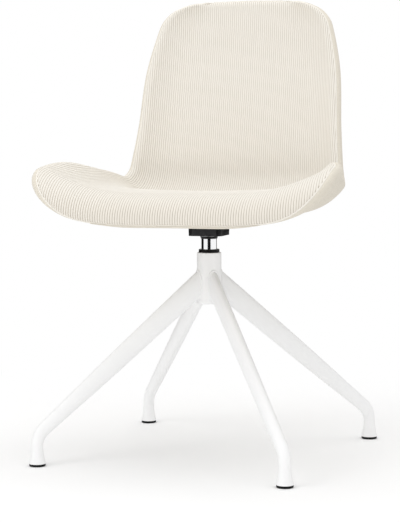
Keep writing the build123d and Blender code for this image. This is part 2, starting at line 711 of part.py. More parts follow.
with BuildPart() as bracket_washers:
    with BuildSketch(SEAT_PLANE.offset(ARM_BOTTOM)):
        with Locations(*BOLTS):
            Circle(M6_WASHER_RADIUS)
            Circle(M6_RADIUS + M6_CLEARANCE, mode=Mode.SUBTRACT)
    extrude(amount=-M6_WASHER)
save(bracket_washers.part, "bracket_washers")

BOLT_SEAT = ARM_BOTTOM - M6_WASHER
with BuildPart() as bracket_bolts:
    with BuildSketch(SEAT_PLANE.offset(BOLT_SEAT)):
        with Locations(*BOLTS):
            Circle(M6_HEAD_RADIUS)
    extrude(amount=-M6_HEAD)
    fillet(bracket_bolts.edges().group_by(SEAT_PLANE.location.z_axis)[0], 1.5)
    with BuildSketch(SEAT_PLANE.offset(BOLT_SEAT)):
        with Locations(*BOLTS):
            Circle(M6_RADIUS - RUNNING_FIT)
    extrude(amount=TEE_FLOOR - BOLT_SEAT)
    with BuildSketch(SEAT_PLANE.offset(BOLT_SEAT - M6_HEAD)):
        with Locations(*BOLTS):
            RegularPolygon(M6_SOCKET / 2, 6, major_radius=False)
    extrude(amount=M6_SOCKET_DEPTH, mode=Mode.SUBTRACT)
save(bracket_bolts.part, "bracket_bolts")

with BuildPart() as spindle_grub_screw:
    grub_plane = Plane(
        origin=(0, SPINDLE_RADIUS + RUNNING_FIT, GRUB_Z), x_dir=(1, 0, 0), z_dir=(0, 1, 0)
    )
    with BuildSketch(grub_plane):
        Circle(M6_RADIUS - RUNNING_FIT)
    extrude(amount=GRUB_LENGTH)
    with BuildSketch(grub_plane.offset(GRUB_LENGTH)):
        RegularPolygon(GRUB_SOCKET / 2, 6, major_radius=False)
    extrude(amount=-GRUB_SOCKET, mode=Mode.SUBTRACT)
save(spindle_grub_screw.part, "spindle_grub_screw")
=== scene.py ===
from math import cos, pi, radians, sin, sqrt, tan

import bmesh
import bpy
import numpy as np
from mathutils import Matrix, Vector


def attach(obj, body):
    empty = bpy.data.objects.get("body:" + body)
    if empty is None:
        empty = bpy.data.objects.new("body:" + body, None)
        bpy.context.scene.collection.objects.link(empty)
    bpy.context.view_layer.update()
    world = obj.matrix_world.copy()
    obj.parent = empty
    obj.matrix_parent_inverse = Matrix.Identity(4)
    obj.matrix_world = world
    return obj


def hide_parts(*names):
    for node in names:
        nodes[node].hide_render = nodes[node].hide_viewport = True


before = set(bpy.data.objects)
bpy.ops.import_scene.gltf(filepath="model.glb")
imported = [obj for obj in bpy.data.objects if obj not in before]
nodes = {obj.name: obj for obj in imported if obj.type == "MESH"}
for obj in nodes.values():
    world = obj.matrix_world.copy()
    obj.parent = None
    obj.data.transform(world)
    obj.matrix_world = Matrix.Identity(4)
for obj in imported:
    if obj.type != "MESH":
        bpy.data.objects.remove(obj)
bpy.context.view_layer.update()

MM = 0.001
scene = bpy.context.scene

# ---------------------------------------------------------------- camera
# solved from the photo, in metres, radians and pixels
DISTANCE, HEIGHT = 2.93380, 0.58262
AZIMUTH = 0.29197
PITCH, YAW, ROLL = 0.07988877, 0.005627794, -0.004947168
FOCAL_PIXELS, LONG_SIDE, SENSOR = 1632.491, 522, 36.0
CLIP_END = 60


def place_camera():
    turn = AZIMUTH + YAW
    across = Vector((cos(turn), sin(turn), 0))
    level = Vector((-sin(turn), cos(turn), 0))
    forward = level * cos(PITCH) - Vector((0, 0, sin(PITCH)))
    up = across.cross(forward)
    right = across * cos(ROLL) + up * sin(ROLL)
    top = up * cos(ROLL) - across * sin(ROLL)
    data = bpy.data.cameras.new("photo_camera")
    data.sensor_width = SENSOR
    data.sensor_fit = "AUTO"
    data.lens = FOCAL_PIXELS * SENSOR / LONG_SIDE
    data.clip_end = CLIP_END
    camera = bpy.data.objects.new("photo_camera", data)
    scene.collection.objects.link(camera)
    place = Matrix((right, top, -forward)).transposed().to_4x4()
    place.translation = (DISTANCE * sin(AZIMUTH), -DISTANCE * cos(AZIMUTH), HEIGHT)
    camera.matrix_world = place
    scene.camera = camera


place_camera()


# ---------------------------------------------------------------- node helpers
def new_material(name):
    mat = bpy.data.materials.new(name)
    mat.use_nodes = True
    tree = mat.node_tree
    tree.nodes.clear()
    out = tree.nodes.new("ShaderNodeOutputMaterial")
    bsdf = tree.nodes.new("ShaderNodeBsdfPrincipled")
    tree.links.new(bsdf.outputs[0], out.inputs["Surface"])
    return mat, tree, bsdf


def add_node(tree, kind, inputs=None, **settings):
    n = tree.nodes.new(kind)
    for key, value in settings.items():
        setattr(n, key, value)
    for key, value in (inputs or {}).items():
        if isinstance(value, bpy.types.NodeSocket):
            tree.links.new(value, n.inputs[key])
        else:
            n.inputs[key].default_value = value
    return n


def calc(tree, op, a, b=0.0):
    return add_node(tree, "ShaderNodeMath", {0: a, 1: b}, operation=op).outputs[0]


def spread(tree, value, low, high, to_low=0.0, to_high=1.0):
    """Value from low..high mapped to another range, smoothly and clamped."""
    return add_node(
        tree, "ShaderNodeMapRange",
        {0: value, 1: low, 2: high, 3: to_low, 4: to_high},
        interpolation_type="SMOOTHSTEP",
    ).outputs[0]


def mix_colour(tree, factor, a, b):
    return add_node(
        tree, "ShaderNodeMix", {0: factor, 6: a, 7: b}, data_type="RGBA"
    ).outputs[2]


def rgb(r, g, b):
    return (r, g, b, 1.0)


def place_of(tree):
    """Position in the object's own frame, in metres."""
    return tree.nodes.new("ShaderNodeTexCoord").outputs["Object"]


def cloth_place(tree):
    """Position on a cloth, across and along it, in metres."""
    return add_node(tree, "ShaderNodeAttribute", attribute_name="cloth").outputs["Vector"]


def axis_of(tree, vector, axis):
    return add_node(tree, "ShaderNodeSeparateXYZ", {0: vector}).outputs[axis]


def stretch(tree, vector, *scales):
    return add_node(tree, "ShaderNodeMapping", {0: vector, 3: scales}).outputs[0]


def noise_at(tree, vector, scale, detail=3.0, rough=0.55):
    return add_node(
        tree, "ShaderNodeTexNoise",
        {"Vector": vector, "Scale": scale, "Detail": detail, "Roughness": rough},
    ).outputs[0]


def bump_on(tree, bsdf, height, distance, strength=1.0):
    n = add_node(
        tree, "ShaderNodeBump", {"Height": height, "Distance": distance, "Strength": strength}
    )
    tree.links.new(n.outputs[0], bsdf.inputs["Normal"])


def link(tree, value, bsdf, socket):
    tree.links.new(value, bsdf.inputs[socket])


def set_inputs(bsdf, **values):
    """Plain values of a shader, with _ for the spaces in their names."""
    for name, value in values.items():
        bsdf.inputs[name.replace("_", " ")].default_value = value


# ---------------------------------------------------------------- finishes
def powder_coat():
    """Satin white powder coat: fine orange peel, and a little dirt low down."""
    mat, tree, bsdf = new_material("white_powder_coat")
    place = place_of(tree)
    cloud = noise_at(tree, place, 9.0, 4.0)
    peel = noise_at(tree, place, 520.0, 2.0)
    speck = noise_at(tree, place, 2600.0, 1.0)
    low = spread(tree, axis_of(tree, place, 2), 0.0, 0.05, 1.0, 0.0)
    colour = mix_colour(tree, cloud, rgb(0.895, 0.897, 0.899), rgb(0.930, 0.930, 0.928))
    dirt = calc(tree, "MULTIPLY", low, spread(tree, cloud, 0.45, 0.75, 0.0, 0.25))
    colour = mix_colour(tree, dirt, colour, rgb(0.72, 0.71, 0.69))
    link(tree, colour, bsdf, "Base Color")
    link(tree, spread(tree, peel, 0.3, 0.7, 0.40, 0.52), bsdf, "Roughness")
    set_inputs(bsdf, IOR=1.48)
    both = calc(tree, "ADD", peel, calc(tree, "MULTIPLY", speck, 0.25))
    bump_on(tree, bsdf, both, 0.00012, 0.5)
    return mat


def black_plastic(name, base, rough, scale):
    """Moulded black plastic with a fine spark-eroded grain and faint scuffs."""
    mat, tree, bsdf = new_material(name)
    place = place_of(tree)
    grain = noise_at(tree, place, scale, 3.0)
    scuff = noise_at(tree, place, 60.0, 5.0, 0.7)
    colour = mix_colour(tree, scuff, rgb(*base), rgb(*[c * 2.2 for c in base]))
    link(tree, colour, bsdf, "Base Color")
    link(tree, spread(tree, scuff, 0.3, 0.75, rough, rough + 0.16), bsdf, "Roughness")
    set_inputs(bsdf, Specular_IOR_Level=0.14)
    bump_on(tree, bsdf, grain, 0.00008, 0.6)
    return mat


def black_paint():
    """Black powder-coated casting: fine texture, worn a little at its edges."""
    mat, tree, bsdf = new_material("black_powder_coat")
    place = place_of(tree)
    grain = noise_at(tree, place, 900.0, 3.0, 0.65)
    cloud = noise_at(tree, place, 35.0, 4.0)
    edge = add_node(tree, "ShaderNodeNewGeometry").outputs["Pointiness"]
    wear = calc(tree, "MULTIPLY", spread(tree, edge, 0.53, 0.60), cloud)
    colour = mix_colour(tree, cloud, rgb(0.003, 0.003, 0.003), rgb(0.007, 0.007, 0.008))
    colour = mix_colour(tree, wear, colour, rgb(0.06, 0.06, 0.063))
    link(tree, colour, bsdf, "Base Color")
    link(tree, spread(tree, grain, 0.3, 0.7, 0.26, 0.40), bsdf, "Roughness")
    set_inputs(bsdf, Specular_IOR_Level=0.16)
    bump_on(tree, bsdf, grain, 0.0001, 0.35)
    return mat


def chrome():
    """Polished chrome with faint turning marks round the rod."""
    mat, tree, bsdf = new_material("polished_chrome")
    place = place_of(tree)
    marks = noise_at(tree, stretch(tree, place, 60.0, 60.0, 4200.0), 1.0, 3.0)
    haze = noise_at(tree, place, 90.0, 4.0)
    colour = mix_colour(tree, haze, rgb(0.90, 0.905, 0.915), rgb(0.95, 0.952, 0.96))
    link(tree, colour, bsdf, "Base Color")
    set_inputs(bsdf, Metallic=1.0)
    link(tree, spread(tree, marks, 0.35, 0.7, 0.045, 0.11), bsdf, "Roughness")
    bump_on(tree, bsdf, marks, 0.00001, 0.25)
    return mat


def zinc():
    """Zinc-plated steel: soft crystalline patches and a cloudy tone."""
    mat, tree, bsdf = new_material("zinc_plated_steel")
    place = place_of(tree)
    cells = add_node(tree, "ShaderNodeTexVoronoi", {"Vector": place, "Scale": 240.0})
    cloud = noise_at(tree, place, 120.0, 4.0)
    colour = mix_colour(tree, cloud, rgb(0.52, 0.53, 0.55), rgb(0.68, 0.68, 0.67))
    link(tree, colour, bsdf, "Base Color")
    set_inputs(bsdf, Metallic=1.0)
    link(tree, spread(tree, cells.outputs["Distance"], 0.0, 0.8, 0.28, 0.45), bsdf,
         "Roughness")
    bump_on(tree, bsdf, cloud, 0.00004, 0.4)
    return mat


UNDER_SHADE_FROM, UNDER_SHADE_TO = 0.078, 0.030  # painted shade: the cloth is painted darker as it turns under the front


def ribbed_cloth():
    """Cream corduroy. The rib's height comes from the mesh; painted shade darkens the
    valleys between the ribs, most where the cover turns under the front edge, where the
    crests get painted shade too; a painted shadow lines the seam, and the pile's tufts
    run across the ribs."""
    mat, tree, bsdf = new_material("ribbed_cream_cloth")
    rib = add_node(tree, "ShaderNodeAttribute", attribute_name="rib").outputs["Fac"]
    cloth, place = cloth_place(tree), place_of(tree)
    pile = noise_at(tree, stretch(tree, cloth, 900.0, 1900.0, 1.0), 1.0, 3.0, 0.6)
    fuzz = noise_at(tree, place, 2400.0, 2.0, 0.7)
    nap = noise_at(tree, stretch(tree, cloth, 260.0, 14.0, 1.0), 1.0, 3.0, 0.5)
    cloud = noise_at(tree, place, 7.0, 3.0, 0.5)
    # painted shade: the valleys between the ribs are painted darker than the crests
    valley_shade = mix_colour(tree, cloud, rgb(0.517, 0.465, 0.384), rgb(0.561, 0.510, 0.430))
    crest = mix_colour(tree, cloud, rgb(0.832, 0.796, 0.728), rgb(0.856, 0.824, 0.761))
    # painted shade where the cover turns under the front edge, on valleys and crests alike
    under_shade = spread(tree, axis_of(tree, cloth, 1), UNDER_SHADE_TO, UNDER_SHADE_FROM, 1.0, 0.0)
    valley_shade = mix_colour(tree, under_shade, valley_shade, rgb(0.405, 0.355, 0.275))
    crest = mix_colour(tree, under_shade, crest, rgb(0.802, 0.757, 0.684))
    colour = mix_colour(tree, spread(tree, rib, 0.0, 0.70), valley_shade, crest)
    # a painted shadow in the seam's groove, then random nap and pile tones
    for amount, tint in (
        (spread(tree, rib, SEAM_SHADE, 0.0, 1.0, 0.0), rgb(0.26, 0.22, 0.165)),
        (spread(tree, nap, 0.3, 0.7, 0.0, 0.16), rgb(0.72, 0.67, 0.59)),
        (spread(tree, pile, 0.35, 0.65, 0.0, 0.12), rgb(0.95, 0.93, 0.89)),
    ):
        colour = mix_colour(tree, amount, colour, tint)
    link(tree, colour, bsdf, "Base Color")
    link(tree, spread(tree, pile, 0.3, 0.7, 0.86, 0.97), bsdf, "Roughness")
    set_inputs(bsdf, Specular_IOR_Level=0.15, Sheen_Weight=0.22, Sheen_Roughness=0.45,
               Sheen_Tint=rgb(1.0, 0.97, 0.92))
    both = calc(tree, "ADD", pile, calc(tree, "MULTIPLY", fuzz, 0.6))
    bump_on(tree, bsdf, both, 0.00022, 0.55)
    return mat


THREAD = 1.1 * MM  # pitch of the plain cloth's threads


def plain_cloth(name, dark, light):
    """Plain weave: threads over and under, with slubs and a soft sheen."""
    mat, tree, bsdf = new_material(name)
    cloth, place = cloth_place(tree), place_of(tree)
    weave = []
    for axis, other in ((0, 1), (1, 0)):
        turn = calc(tree, "MULTIPLY", axis_of(tree, cloth, axis), 2 * pi / THREAD)
        step = calc(tree, "MULTIPLY", axis_of(tree, cloth, other), pi / THREAD)
        over = calc(tree, "SINE", calc(tree, "ADD", turn, step))
        weave.append(calc(tree, "ABSOLUTE", over))
    thread = calc(tree, "MULTIPLY", weave[0], weave[1])
    slubs = noise_at(tree, stretch(tree, cloth, 90.0, 800.0, 1.0), 1.0, 3.0)
    fuzz = noise_at(tree, place, 2200.0, 2.0, 0.7)
    cloud = noise_at(tree, place, 8.0, 3.0)
    colour = mix_colour(tree, spread(tree, thread, 0.0, 0.8), rgb(*dark), rgb(*light))
    colour = mix_colour(tree, spread(tree, slubs, 0.4, 0.75, 0.0, 0.2), colour,
                        rgb(*[c * 0.86 for c in dark]))
    colour = mix_colour(tree, spread(tree, cloud, 0.3, 0.7, 0.0, 0.12), colour,
                        rgb(*[c * 1.04 for c in light]))
    link(tree, colour, bsdf, "Base Color")
    link(tree, spread(tree, fuzz, 0.3, 0.7, 0.82, 0.95), bsdf, "Roughness")
    set_inputs(bsdf, Specular_IOR_Level=0.2, Sheen_Weight=0.15, Sheen_Roughness=0.5,
               Sheen_Tint=rgb(1.0, 0.97, 0.92))
    both = calc(tree, "ADD", thread, calc(tree, "MULTIPLY", fuzz, 0.5))
    bump_on(tree, bsdf, both, 0.00018, 0.5)
    return mat


SEAM_SHADE = -0.6  # the rib attribute's value at the seam, where the painted shadow in its groove makes the cloth darkest
WHITE = powder_coat()
GLIDE = black_plastic("black_nylon", (0.004, 0.004, 0.004), 0.45, 700.0)
BUSH = black_plastic("black_acetal", (0.003, 0.003, 0.003), 0.28, 1200.0)
CORE = black_plastic("grey_moulding", (0.06, 0.06, 0.062), 0.5, 500.0)
BLACK = black_paint()
CHROME = chrome()
ZINC = zinc()
RIBBED = ribbed_cloth()
PLAIN = plain_cloth("plain_beige_cloth", (0.715, 0.662, 0.565), (0.815, 0.768, 0.675))
# the welt's cloth is painted lighter than the ribbed cover's crests, a painted highlight along
# the seam's ridge
WELT = plain_cloth("welt_cream_cloth", (0.850, 0.810, 0.735), (0.930, 0.900, 0.835))

NODE_FINISH = {
    "hub_tube": WHITE, "spindle": CHROME, "upper_bush": BUSH, "lower_bush": BUSH,
    "dust_collar": BUSH, "hub_plug": BUSH, "ball_cage": BUSH, "spacers": BUSH,
    "seat_bracket": BLACK, "shell_core": CORE, "seat_pad": RIBBED, "rear_cover": PLAIN,
}


def dress(name):
    """The finish of a CAD node."""
    if name.startswith("leg_"):
        return WHITE
    if name.startswith("glide_"):
        return GLIDE
    return NODE_FINISH.get(name, ZINC)


for name, piece in nodes.items():
    if not piece.material_slots:
        piece.data.materials.append(dress(name))
    for material_slot in piece.material_slots:
        material_slot.material = dress(name)

# ---------------------------------------------------------------- shell form
# The upholstered shell's own sizes, in millimetres and degrees. Its centre line has
# five runs, from the front end to the top, each a radius and turn or a length and 0.
# A table's places count along them: 1.6 is 60 % along the second run.
THICK = 13.0  # half thickness
SEAT_Z, RAKE = 457.4, 9.9
RUNS = [(46.3, -122.7), (258.0, 0.0), (86.4, 85.8), (190.7, 0.0), (1003.0, 8.3)]
FRONT_RUN = 148.5  # straight part of the seat, ahead of the axis
HALF_WIDTH = [
    (0, 247), (0.5, 262), (1, 273.5), (1.25, 259.5), (1.6, 236), (2, 225), (2.5, 218),
    (3, 209), (3.4, 200.5), (4, 192), (4.5, 177), (5, 154.5),
]
WING_ANGLE = [
    (0, -9), (0.5, 3.5), (1, 22), (1.25, 42.5), (1.6, 48), (2, 52.5), (2.5, 49.5),
    (3, 43.5), (3.4, 39), (4, 38.5), (4.5, 35), (5, 29),
]
DISH_ANGLE = [(0, 1.3), (1, 2.8), (1.6, 3.8), (2.5, 3.3), (5, 3.5)]
SEAM_ANGLE = [(0, 22), (1, 22), (2, 60), (3, 65), (5, 65)]
RIB_PITCH = [(0, 4.45), (1, 4.40), (2, 4.25), (3, 4.1), (5, 4.05)]
DISH_SHARE = 0.62  # of the half width; the wing has the rest
FRONT_CORNER, FRONT_CORNER_WIDTH = 80.5, 155.5
TOP_CORNER, TOP_CORNER_WIDTH = 51.5, 81.0
LEAST_HALF, LEAST_RIM = 0.02, 0.8  # of the section, at the rounded ends
LEAST_BEND = radians(0.15)  # by which the wing is steeper than the dish
MOST_TILT = 1.55  # radians, just short of a right angle


def trace():
    """Start, length, first point, heading and bend of each run of the centre line,
    and its whole length."""
    rake = radians(RAKE)
    nose_r, wrap = RUNS[0][0], radians(-RUNS[0][1])
    end = np.array([-FRONT_RUN * cos(rake), SEAT_Z + FRONT_RUN * sin(rake)])
    centre = end - nose_r * np.array([sin(rake), cos(rake)])
    heading = wrap - rake
    point = centre + nose_r * np.array([-sin(heading), cos(heading)])
    runs, start = [], 0.0
    for size, turn in RUNS:
        length = size if turn == 0 else size * abs(radians(turn))
        bend = 0.0 if turn == 0 else radians(turn) / length
        runs.append((start, length, point, heading, bend))
        if bend:
            after = heading + bend * length
            point = point + np.array(
                [sin(after) - sin(heading), cos(heading) - cos(after)]
            ) / bend
            heading = after
        else:
            point = point + length * np.array([cos(heading), sin(heading)])
        start += length
    return runs, start


LINE, LENGTH = trace()
MARKS = [run[0] for run in LINE] + [LENGTH]


def along(table):
    """A table's places as distances along the centre line."""
    found = []
    for place, value in table:
        i = min(int(place), len(LINE) - 1)
        found.append((MARKS[i] + (place - i) * LINE[i][1], value))
    return np.array(found, float)


def ease(t):
    """From 0 to 1, with a soft start and end."""
    t = np.clip(t, 0, 1)
    return t * t * (3 - 2 * t)


def smooth(table, s):
    """A table's value at s, on a smooth curve through its points."""
    x, y = table.T
    rise = np.diff(y) / np.diff(x)
    lean = np.concatenate([[rise[0]], (rise[1:] + rise[:-1]) / 2, [rise[-1]]])
    i = np.clip(np.searchsorted(x, s, side="right") - 1, 0, len(x) - 2)
    h = x[i + 1] - x[i]
    t = (s - x[i]) / h
    return (
        y[i] * (1 + 2 * t) * (1 - t) ** 2
        + y[i + 1] * t * t * (3 - 2 * t)
        + h * t * (1 - t) * (lean[i] * (1 - t) - lean[i + 1] * t)
    )


WIDTHS, WINGS, DISHES = along(HALF_WIDTH), along(WING_ANGLE), along(DISH_ANGLE)
SEAMS, PITCHES = along(SEAM_ANGLE), along(RIB_PITCH)

SINK = 22.5  # how far the middle of the seat's front edge is let down
SINK_FLAT, SINK_SIDE = 110.0, 275.0  # over this half width, and no more at that one
SINK_LOW, SINK_HIGH = 418.0, 496.0  # from nothing to all of it between these heights
SINK_TOP = np.array([  # its share on the seat, by the distance from the axis
    (-165, 1.0), (-155, 0.984), (-145, 0.935), (-25, 0.161), (-10, 0.079),
    (5, 0.026), (25, 0.0),
])
SINK_UNDER = (-165.0, -85.0)  # where it fades on the underside


def sink(points):
    """Lets the middle of the seat's front edge down."""
    x, y, z = points[..., 0], points[..., 1], points[..., 2]
    rake = radians(RAKE)
    amount = SINK * (1 - ease((np.abs(x) - SINK_FLAT) / (SINK_SIDE - SINK_FLAT)))
    amount = amount * np.clip((z - SINK_LOW) / (SINK_HIGH - SINK_LOW), 0, 1)
    over = (z - SEAT_Z + y * tan(rake)) * cos(rake)
    top = smooth(SINK_TOP, np.clip(y, SINK_TOP[0, 0], SINK_TOP[-1, 0]))
    under = 1 - ease((y - SINK_UNDER[0]) / (SINK_UNDER[1] - SINK_UNDER[0]))
    layer = np.clip((over + THICK) / (2 * THICK), 0, 1)
    out = points.copy()
    out[..., 2] = z - amount * (under + (top - under) * layer)
    return out


def centre(s):
    """Point (y, z) and heading of the centre line."""
    y, z, head = np.zeros_like(s), np.zeros_like(s), np.zeros_like(s)
    for start, length, point, heading, bend in LINE:
        use = s >= start
        u = s[use] - start
        if bend:
            now = heading + bend * u
            y[use] = point[0] + (np.sin(now) - sin(heading)) / bend
            z[use] = point[1] + (cos(heading) - np.cos(now)) / bend
            head[use] = now
        else:
            y[use] = point[0] + u * cos(heading)
            z[use] = point[1] + u * sin(heading)
            head[use] = heading
    return y, z, head


class Section:
    """The shell's cross-sections at distances s, as column arrays. Each is a dish in
    the middle, a steeper wing at its side and a round rim. Side 1 is the front skin
    and side -1 the rear one."""

    def __init__(self, s):
        s = np.asarray(s, float).reshape(-1, 1)
        self.s = s
        near = np.maximum(np.maximum(1 - s / THICK, 1 - (LENGTH - s) / THICK), 0)
        self.tilt = np.arcsin(np.minimum(near, 1))
        self.half = np.maximum(THICK * np.cos(self.tilt), LEAST_HALF)
        width = smooth(WIDTHS, s) - np.maximum(self.half, LEAST_RIM)
        near = np.maximum(1 - s / FRONT_CORNER, 0)
        far = np.maximum(1 - (LENGTH - s) / TOP_CORNER, 0)
        width -= FRONT_CORNER_WIDTH * (1 - np.sqrt(1 - near**2))
        width -= TOP_CORNER_WIDTH * (1 - np.sqrt(1 - far**2))
        self.dish = np.radians(smooth(DISHES, s))
        self.wing = np.radians(smooth(WINGS, s))
        close = np.abs(self.wing - self.dish) < LEAST_BEND
        self.wing = np.where(close, self.dish + LEAST_BEND, self.wing)
        dish_x = DISH_SHARE * width
        self.dish_r = dish_x / np.sin(self.dish)
        self.wing_r = (width - dish_x) / (np.sin(self.wing) - np.sin(self.dish))
        self.x0 = dish_x - self.wing_r * np.sin(self.dish)
        self.y0 = self.dish_r * (1 - np.cos(self.dish)) + self.wing_r * np.cos(self.dish)
        self.end_x = self.x0 + self.wing_r * np.sin(self.wing)
        self.end_y = self.y0 - self.wing_r * np.cos(self.wing)
        seam = np.radians(smooth(SEAMS, s))
        ratio = np.cos(seam) / np.cos(np.minimum(self.tilt, MOST_TILT))
        self.seam = np.arccos(np.minimum(ratio, 1))

    def reach(self, side=1):
        """Lengths of the dish and of the wing on that skin."""
        out = side * self.half
        return (
            (self.dish_r - out) * self.dish,
            (self.wing_r - out) * (self.wing - self.dish),
        )

    def flat(self, side=1):
        """Distance from the middle to the rim, along that skin."""
        dish, wing = self.reach(side)
        return dish + wing

    def edge(self, side=1):
        """Distance from the middle to the seam, along that skin."""
        return self.flat(side) + self.half * (self.seam if side > 0 else pi - self.seam)

    def skin(self, q, side=1, lift=0.0):
        """Points at distances q from the middle, along that skin."""
        dish, wing = self.reach(side)
        out = side * (self.half + lift)
        a = np.abs(q)
        turn_dish = a / (self.dish_r - side * self.half)
        turn_wing = self.dish + (a - dish) / (self.wing_r - side * self.half)
        turn_rim = self.wing - side * (a - dish - wing) / self.half
        rim = self.half + lift
        x = np.where(
            a <= dish, (self.dish_r - out) * np.sin(turn_dish),
            self.x0 + (self.wing_r - out) * np.sin(turn_wing),
        )
        y = np.where(
            a <= dish, self.dish_r - (self.dish_r - out) * np.cos(turn_dish),
            self.y0 - (self.wing_r - out) * np.cos(turn_wing),
        )
        on_rim = a > dish + wing
        x = np.where(on_rim, self.end_x - side * rim * np.sin(turn_rim), x)
        y = np.where(on_rim, self.end_y + side * rim * np.cos(turn_rim), y)
        return self.lay(np.sign(q) * x, y)

    def lay(self, x, y):
        """Section points to places in the scene, in metres."""
        cy, cz, head = centre(self.s)
        points = np.stack([x, cy - y * np.sin(head), cz + y * np.cos(head)], -1)
        return sink(points) * MM


# where the front cover starts and ends
PAD_START = THICK * (1 - sin(radians(SEAM_ANGLE[0][1])))
PAD_END = LENGTH - THICK * (1 - sin(radians(SEAM_ANGLE[-1][1])))
ROW_SHRINK, ROW_TRIES = 0.8, 30


def build_rows(step, turn_step, most_change):
    """Distances of a cover's rows between the ends of the front cover: close
    together where the ends are rounded and where the edge runs in fast."""
    rows = [PAD_START]
    while rows[-1] < PAD_END - 1e-6:
        s = rows[-1]
        ahead = step
        for _ in range(ROW_TRIES):
            pair = Section([s, min(s + ahead, PAD_END)])
            tilt = abs(pair.tilt[1, 0] - pair.tilt[0, 0])
            change = abs(pair.edge()[1, 0] - pair.edge()[0, 0])
            if tilt <= turn_step and change <= most_change:
                break
            ahead *= ROW_SHRINK
        rows.append(min(s + ahead, PAD_END))
    return np.array(rows)


# ---------------------------------------------------------------- mesh helpers
def grid_normals(points, up):
    """Unit normals of a grid of points, turned so that they point up, or down, in
    the middle of the seat."""
    normals = np.cross(np.gradient(points, axis=1), np.gradient(points, axis=0))
    normals /= np.maximum(np.linalg.norm(normals, axis=-1, keepdims=True), 1e-12)
    middle = normals[len(normals) // 3, normals.shape[1] // 2]
    return normals if (middle[2] > 0) == up else -normals


LOOK_HALF = 80  # columns on each side of the middle


def front_normals(part, reach):
    """A function that looks up the front skin's normals by the share of its reach."""
    share = np.linspace(-1, 1, 2 * LOOK_HALF + 1)
    normal = grid_normals(part.skin(share[None, :] * reach[:, None]), up=True)

    def look(at):
        place = np.clip((at + 1) * LOOK_HALF, 0, 2 * LOOK_HALF - 0.001)
        low = place.astype(int)
        t = (place - low)[..., None]
        r = np.arange(at.shape[0])[:, None]
        n = normal[r, low] * (1 - t) + normal[r, low + 1] * t
        return n / np.linalg.norm(n, axis=-1, keepdims=True)

    return look


def quads(numbers):
    """Faces between the rows and columns of a grid of vertex numbers."""
    corners = (numbers[:-1, :-1], numbers[:-1, 1:], numbers[1:, 1:], numbers[1:, :-1])
    return np.stack(corners, -1).reshape(-1, 4).tolist()


def numbered(rows, columns, start=0):
    return start + np.arange(rows * columns).reshape(rows, columns)


def finish_mesh(name, verts, faces, body, material):
    mesh = bpy.data.meshes.new(name)
    mesh.from_pydata([tuple(v) for v in verts], [], faces)
    mesh.validate()
    piece = bpy.data.objects.new(name, mesh)
    scene.collection.objects.link(piece)
    mesh.materials.append(material)
    mesh.polygons.foreach_set("use_smooth", [True] * len(mesh.polygons))
    mesh.update()
    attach(piece, body)
    return piece


def set_attribute(piece, name, values, kind):
    field = piece.data.attributes.new(name, kind, "POINT")
    values = np.asarray(values, np.float32)
    field.data.foreach_set("value" if kind == "FLOAT" else "vector", values.ravel())


def turn_out(piece, join=None):
    """Faces turned outwards, and vertices that lie closer than join made one."""
    bm = bmesh.new()
    bm.from_mesh(piece.data)
    if join:
        loose = [v for v in bm.verts if not v.link_faces]
        bmesh.ops.delete(bm, geom=loose, context="VERTS")
        bmesh.ops.remove_doubles(bm, verts=bm.verts, dist=join)
    bmesh.ops.recalc_face_normals(bm, faces=bm.faces)
    bm.to_mesh(piece.data)
    bm.free()


# ---------------------------------------------------------------- foam
FOAM_ROWS, FOAM_COLUMNS = 96, 73
FOAM_FROM, FOAM_TO = PAD_START + 0.5, PAD_END - 0.4  # just inside the seam
FOAM_DEPTH = 10.0 * MM
FOAM_TAPER = 6  # full depth within a sixth of the half width from the seam
FOAM_END_ROWS = 3  # and within this many rows from the ends
FOAM_STEPS = 20
FOAM_CLOTH = {
    "quality": 5, "mass": 0.3, "tension_stiffness": 25, "compression_stiffness": 25,
    "shear_stiffness": 10, "bending_stiffness": 2.0, "vertex_group_mass": "held",
    "use_pressure": True, "uniform_pressure_force": 0.4,
}
PUFF_CAP = 2.2 * MM  # the most that the cover rises
PUFF_PLAIN = 0.7
PUFF_END = 60.0  # distance from the ends over which it rises there


def foam_body(front, back):
    """The foam between two grids of points that share their border, held at the
    border and at the back."""
    numbers = numbered(FOAM_ROWS, FOAM_COLUMNS)
    inside = np.zeros(numbers.shape, bool)
    inside[1:-1, 1:-1] = True
    behind = np.where(inside, numbers + numbers.size, numbers)
    faces = []
    for near, far in zip(quads(numbers), quads(behind)):
        faces += [near, far[::-1]]
    verts = np.concatenate([front.reshape(-1, 3), back.reshape(-1, 3)])
    mesh = bpy.data.meshes.new("foam")
    mesh.from_pydata([tuple(v) for v in verts], [], faces)
    foam = bpy.data.objects.new("foam", mesh)
    scene.collection.objects.link(foam)
    held = numbers[~inside].tolist() + (numbers + numbers.size).ravel().tolist()
    foam.vertex_groups.new(name="held").add(held, 1.0, "REPLACE")
    return foam


